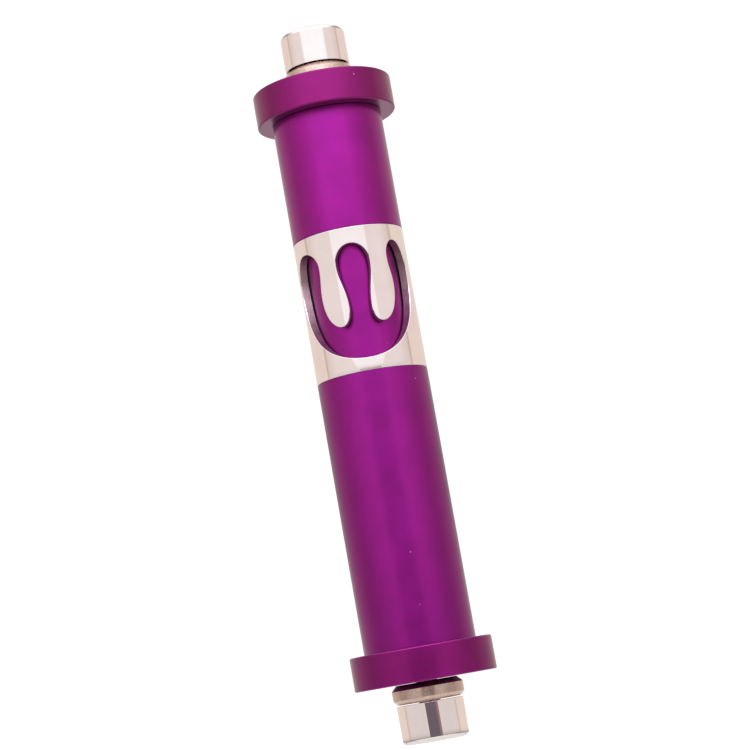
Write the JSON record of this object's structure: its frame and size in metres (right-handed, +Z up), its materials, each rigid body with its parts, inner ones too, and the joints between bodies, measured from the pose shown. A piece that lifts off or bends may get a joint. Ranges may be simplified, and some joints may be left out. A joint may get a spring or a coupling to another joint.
{
  "type": "mezuzah case",
  "caption": "Slim upright metal tube case for a doorpost scroll, with a shaped window in its bright sleeve and a flanged screw cap with a round knob at each end.",
  "frame": {"origin": "centre of the bottom knob's flat end face, on the tube's axis", "axes": "+Z up along the tube, -Y towards the front that the window faces, +X to the right seen from the front"},
  "size_m": [0.0292, 0.0292, 0.1498],
  "materials": {
    "purple_anodised": "satin blasted and anodised purple",
    "polished_nickel": "mirror polished",
    "turned_nickel": "fine turned lines, unpolished",
    "plain_steel": "as turned",
    "seal_rubber": "matte black"
  },
  "bodies": {
    "casing": {"core_tube": "purple_anodised", "lower_tube": "purple_anodised", "window_sleeve": "polished_nickel", "upper_tube": "purple_anodised"},
    "top_seal_ring": {"top_seal": "seal_rubber"},
    "top_cap": {"top_flange": "purple_anodised", "top_collar": "turned_nickel", "top_knob": "polished_nickel", "top_stud": "plain_steel", "top_plug": "plain_steel"},
    "bottom_seal_ring": {"bottom_seal": "seal_rubber"},
    "bottom_cap": {"bottom_flange": "purple_anodised", "bottom_collar": "turned_nickel", "bottom_knob": "polished_nickel", "bottom_stud": "plain_steel", "bottom_plug": "plain_steel"}
  },
  "joints": [
    {"name": "top_cap_lift", "type": "slide", "parent": "casing", "child": "top_seal_ring", "axis": [0, 0, 1], "range_m": [0, 0.0036]},
    {"name": "top_cap_turn", "type": "hinge", "parent": "top_seal_ring", "child": "top_cap", "pos_m": [0, 0, 0.1307], "axis": [0, 0, 1], "range_deg": [0, 864]},
    {"name": "bottom_cap_lift", "type": "slide", "parent": "casing", "child": "bottom_seal_ring", "axis": [0, 0, -1], "range_m": [0, 0.0036]},
    {"name": "bottom_cap_turn", "type": "hinge", "parent": "bottom_seal_ring", "child": "bottom_cap", "pos_m": [0, 0, 0.0191], "axis": [0, 0, -1], "range_deg": [0, 864]}
  ],
  "couplings": [
    {"joint": "top_cap_turn", "follows": "top_cap_lift", "rad_per_m": 4188.8},
    {"joint": "bottom_cap_turn", "follows": "bottom_cap_lift", "rad_per_m": 4188.8}
  ]
}
